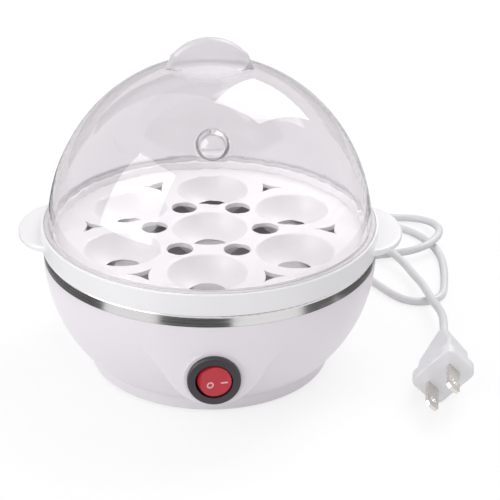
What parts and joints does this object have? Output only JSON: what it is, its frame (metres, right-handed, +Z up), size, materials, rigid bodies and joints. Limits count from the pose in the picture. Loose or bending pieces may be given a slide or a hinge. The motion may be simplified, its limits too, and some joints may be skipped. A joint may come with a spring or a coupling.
{
  "type": "electric egg cooker",
  "caption": "Round table-top egg steamer: white bowl base with a steel water pan, lift-out dished egg tray, clear domed lid with grip and vent, rocker switch, cord and plug.",
  "frame": {"origin": "on the bowl's axis, at the surface that the rubber feet stand on", "axes": "+Z up along the bowl's axis, -Y to the front where the switch is, +X to the right, along the line through the tray's ears"},
  "size_m": [0.2165, 0.2328, 0.1524],
  "materials": {
    "white_shell": "smooth moulded, semi gloss",
    "clear_lid": "clear, polished",
    "steel": "bright",
    "spreader": "cast",
    "heater_sheath": "dull",
    "thermostat_body": "matt",
    "fuse_sleeve": "braided sleeve",
    "switch_black": "satin",
    "rocker_red": "translucent, gloss",
    "brass_contact": "bright",
    "spring_steel": "drawn wire",
    "lamp_glass": "clear",
    "foot_rubber": "matt",
    "cord_sheath": "satin, flexible",
    "lead_black": "satin, flexible",
    "lead_white": "satin, flexible"
  },
  "bodies": {
    "base": {"base_shell": "white_shell", "bottom_cover": "white_shell", "plug_body": "white_shell", "water_pan": "steel", "clamp_plate": "steel", "clamp_nuts": "steel", "cover_screws": "steel", "plug_blades": "steel", "heater_plate": "spreader", "heater_tube": "heater_sheath", "heater_pins": "heater_sheath", "thermostat": "thermostat_body", "thermal_fuse": "fuse_sleeve", "switch_housing": "switch_black", "switch_terminals": "brass_contact", "neon_lamp": "lamp_glass", "feet": "foot_rubber", "power_cord": "cord_sheath", "cord_bushing": "cord_sheath", "lead_live": "lead_black", "lead_switched": "lead_black", "lead_fuse": "lead_black", "lead_heater": "lead_black", "lead_neutral": "lead_white"},
    "tray": {"egg_tray": "white_shell"},
    "lid": {"lid": "clear_lid"},
    "rocker": {"rocker": "rocker_red", "rocker_plunger": "brass_contact", "rocker_spring": "spring_steel"},
    "contact": {"contact_bar": "brass_contact"}
  },
  "joints": [
    {"name": "tray_lift", "type": "slide", "parent": "base", "child": "tray", "axis": [0, 0, 1], "range_m": [0, 0.06]},
    {"name": "lid_lift", "type": "slide", "parent": "tray", "child": "lid", "axis": [0, 0, 1], "range_m": [0, 0.1]},
    {"name": "rocker_press", "type": "hinge", "parent": "base", "child": "rocker", "pos_m": [0, -0.0727, 0.028], "axis": [0, 0, 1], "range_deg": [-20, 0]},
    {"name": "contact_tilt", "type": "hinge", "parent": "base", "child": "contact", "pos_m": [0, -0.0649, 0.028], "axis": [0, 0, 1], "range_deg": [0, 12]}
  ],
  "couplings": [
    {"joint": "contact_tilt", "follows": "rocker_press", "ratio": -0.6}
  ]
}
